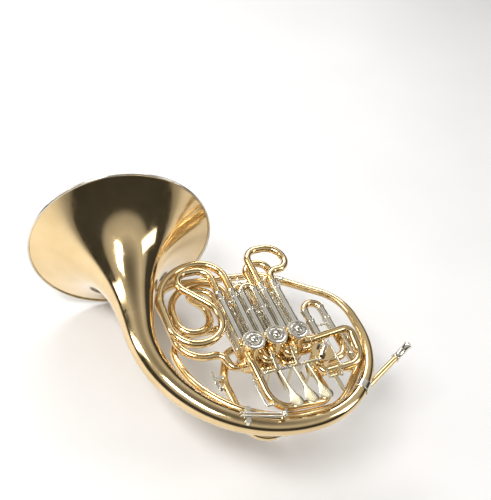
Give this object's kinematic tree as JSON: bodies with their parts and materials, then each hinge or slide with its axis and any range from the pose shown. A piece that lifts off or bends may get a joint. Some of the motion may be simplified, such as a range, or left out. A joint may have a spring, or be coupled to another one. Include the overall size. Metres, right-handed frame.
{
  "type": "french horn",
  "caption": "Double French horn with rotary valves: flared bell, coiled tubing, pull slides, finger levers with string linkage and a thumb change valve.",
  "frame": {"origin": "centre of the mouthpiece receiver's mouth, where a mouthpiece shank enters", "axes": "+X along the valve row towards the mouthpipe side, +Y along the valve slides towards the bell rim, +Z out of the valve caps"},
  "size_m": [0.5538, 0.4559, 0.313],
  "materials": {
    "lacquered_brass": "clear-lacquered polished brass",
    "nickel_silver": "polished nickel silver under clear lacquer",
    "plated_lever": "plated brass, softly polished",
    "rotor_metal": "turned and lapped",
    "steel": "spring steel",
    "cord": "braided cord",
    "cork": "dark cork or neoprene bumper"
  },
  "bodies": {
    "horn_body": {"b_feed_tube": "lacquered_brass", "b_slide_inlet": "lacquered_brass", "bearing_plates": "nickel_silver", "bell_flare": "lacquered_brass", "bell_rim_wire": "nickel_silver", "bell_tail": "lacquered_brass", "braces": "nickel_silver", "change_inlet": "lacquered_brass", "change_valve_casing": "lacquered_brass", "f_feed_tube": "lacquered_brass", "f_return_tube": "lacquered_brass", "ferrules": "nickel_silver", "first_branch": "lacquered_brass", "hinge_rods": "nickel_silver", "leadpipe": "lacquered_brass", "leadpipe_extension": "lacquered_brass", "lever_posts": "nickel_silver", "lever_springs": "steel", "lyre_holder": "nickel_silver", "mouthpiece_receiver": "nickel_silver", "outer_legs": "nickel_silver", "pinky_hook": "nickel_silver", "second_branch": "lacquered_brass", "slide_end_rings": "nickel_silver", "stop_corks": "cork", "valve_caps": "nickel_silver", "valve_casing_1": "lacquered_brass", "valve_casing_2": "lacquered_brass", "valve_casing_3": "lacquered_brass", "valve_knuckles": "nickel_silver", "water_key_pin": "steel", "water_key_saddle": "nickel_silver"},
    "lever_1": {"lever_1": "plated_lever", "cord_1": "cord"},
    "rotor_1": {"rotor_1": "rotor_metal", "stop_arm_1": "nickel_silver"},
    "lever_2": {"lever_2": "plated_lever", "cord_2": "cord"},
    "rotor_2": {"rotor_2": "rotor_metal", "stop_arm_2": "nickel_silver"},
    "lever_3": {"lever_3": "plated_lever", "cord_3": "cord"},
    "rotor_3": {"rotor_3": "rotor_metal", "stop_arm_3": "nickel_silver"},
    "thumb_lever": {"thumb_lever": "plated_lever"},
    "thumb_link": {"thumb_link": "nickel_silver"},
    "change_rotor": {"change_rotor": "rotor_metal", "stop_arm_change": "nickel_silver"},
    "slide_f1": {"slide_f1": "lacquered_brass"},
    "slide_f2": {"slide_f2": "lacquered_brass"},
    "slide_f3": {"slide_f3": "lacquered_brass"},
    "slide_b1": {"slide_b1": "lacquered_brass"},
    "slide_b2": {"slide_b2": "lacquered_brass"},
    "slide_b3": {"slide_b3": "lacquered_brass"},
    "slide_main": {"slide_main": "lacquered_brass"},
    "slide_b_tuning": {"slide_b_tuning": "lacquered_brass"},
    "water_key": {"water_key": "nickel_silver", "water_key_cork": "cork"},
    "lyre_screw": {"lyre_screw": "nickel_silver"}
  },
  "joints": [
    {"name": "lever_1_press", "type": "hinge", "parent": "horn_body", "child": "lever_1", "pos_m": [-0.19259, 0.00014, 0.02841], "axis": [1, 0, 0], "range_deg": [0, 8], "stiffness_Nm_per_rad": 0.35},
    {"name": "rotor_1_turn", "type": "hinge", "parent": "horn_body", "child": "rotor_1", "pos_m": [-0.19259, 0.05014, 0.01341], "axis": [0, 0, 1], "range_deg": [0, 90]},
    {"name": "lever_2_press", "type": "hinge", "parent": "horn_body", "child": "lever_2", "pos_m": [-0.23059, 0.00014, 0.02841], "axis": [1, 0, 0], "range_deg": [0, 8], "stiffness_Nm_per_rad": 0.35},
    {"name": "rotor_2_turn", "type": "hinge", "parent": "horn_body", "child": "rotor_2", "pos_m": [-0.23059, 0.05014, 0.01341], "axis": [0, 0, 1], "range_deg": [0, 90]},
    {"name": "lever_3_press", "type": "hinge", "parent": "horn_body", "child": "lever_3", "pos_m": [-0.26859, 0.00014, 0.02841], "axis": [1, 0, 0], "range_deg": [0, 8], "stiffness_Nm_per_rad": 0.35},
    {"name": "rotor_3_turn", "type": "hinge", "parent": "horn_body", "child": "rotor_3", "pos_m": [-0.26859, 0.05014, 0.01341], "axis": [0, 0, 1], "range_deg": [0, 90]},
    {"name": "thumb_lever_press", "type": "hinge", "parent": "horn_body", "child": "thumb_lever", "pos_m": [-0.15859, -0.02886, 0.01941], "axis": [1, 0, 0], "range_deg": [0, 17.6], "stiffness_Nm_per_rad": 0.2},
    {"name": "thumb_link_pivot", "type": "hinge", "parent": "thumb_lever", "child": "thumb_link", "pos_m": [-0.15635, -0.02886, 0.04741], "axis": [1, 0, 0], "range_deg": [-17.6, 0]},
    {"name": "change_rotor_turn", "type": "hinge", "parent": "horn_body", "child": "change_rotor", "pos_m": [-0.16059, 0.01464, 0.00041], "axis": [0, 0, 1], "range_deg": [-90, 0]},
    {"name": "slide_f1_pull", "type": "slide", "parent": "horn_body", "child": "slide_f1", "axis": [0, 1, 0], "range_m": [0, 0.045]},
    {"name": "slide_f2_pull", "type": "slide", "parent": "horn_body", "child": "slide_f2", "axis": [0, 1, 0], "range_m": [0, 0.03]},
    {"name": "slide_f3_pull", "type": "slide", "parent": "horn_body", "child": "slide_f3", "axis": [0, 1, 0], "range_m": [0, 0.008]},
    {"name": "slide_b1_pull", "type": "slide", "parent": "horn_body", "child": "slide_b1", "axis": [0, 1, 0], "range_m": [0, 0.03]},
    {"name": "slide_b2_pull", "type": "slide", "parent": "horn_body", "child": "slide_b2", "axis": [0, 1, 0], "range_m": [0, 0.025]},
    {"name": "slide_b3_pull", "type": "slide", "parent": "horn_body", "child": "slide_b3", "axis": [0, 1, 0], "range_m": [0, 0.02]},
    {"name": "slide_main_pull", "type": "slide", "parent": "horn_body", "child": "slide_main", "axis": [0, 1, 0], "range_m": [0, 0.025]},
    {"name": "slide_b_tuning_pull", "type": "slide", "parent": "horn_body", "child": "slide_b_tuning", "axis": [0, 1, 0], "range_m": [0, 0.02]},
    {"name": "water_key_open", "type": "hinge", "parent": "horn_body", "child": "water_key", "pos_m": [-0.33059, 0.03214, -0.01259], "axis": [0, 0, 1], "range_deg": [-12, 0], "stiffness_Nm_per_rad": 0.1},
    {"name": "lyre_screw_turn", "type": "hinge", "parent": "horn_body", "child": "lyre_screw", "pos_m": [-0.27378, -0.07879, 0.03641], "axis": [0, 0, 1], "range_deg": [-180, 180]}
  ],
  "couplings": [
    {"joint": "rotor_1_turn", "follows": "lever_1_press", "ratio": 11.25},
    {"joint": "rotor_2_turn", "follows": "lever_2_press", "ratio": 11.25},
    {"joint": "rotor_3_turn", "follows": "lever_3_press", "ratio": 11.25},
    {"joint": "thumb_link_pivot", "follows": "thumb_lever_press", "ratio": -1},
    {"joint": "change_rotor_turn", "follows": "thumb_lever_press", "ratio": -5.1}
  ]
}
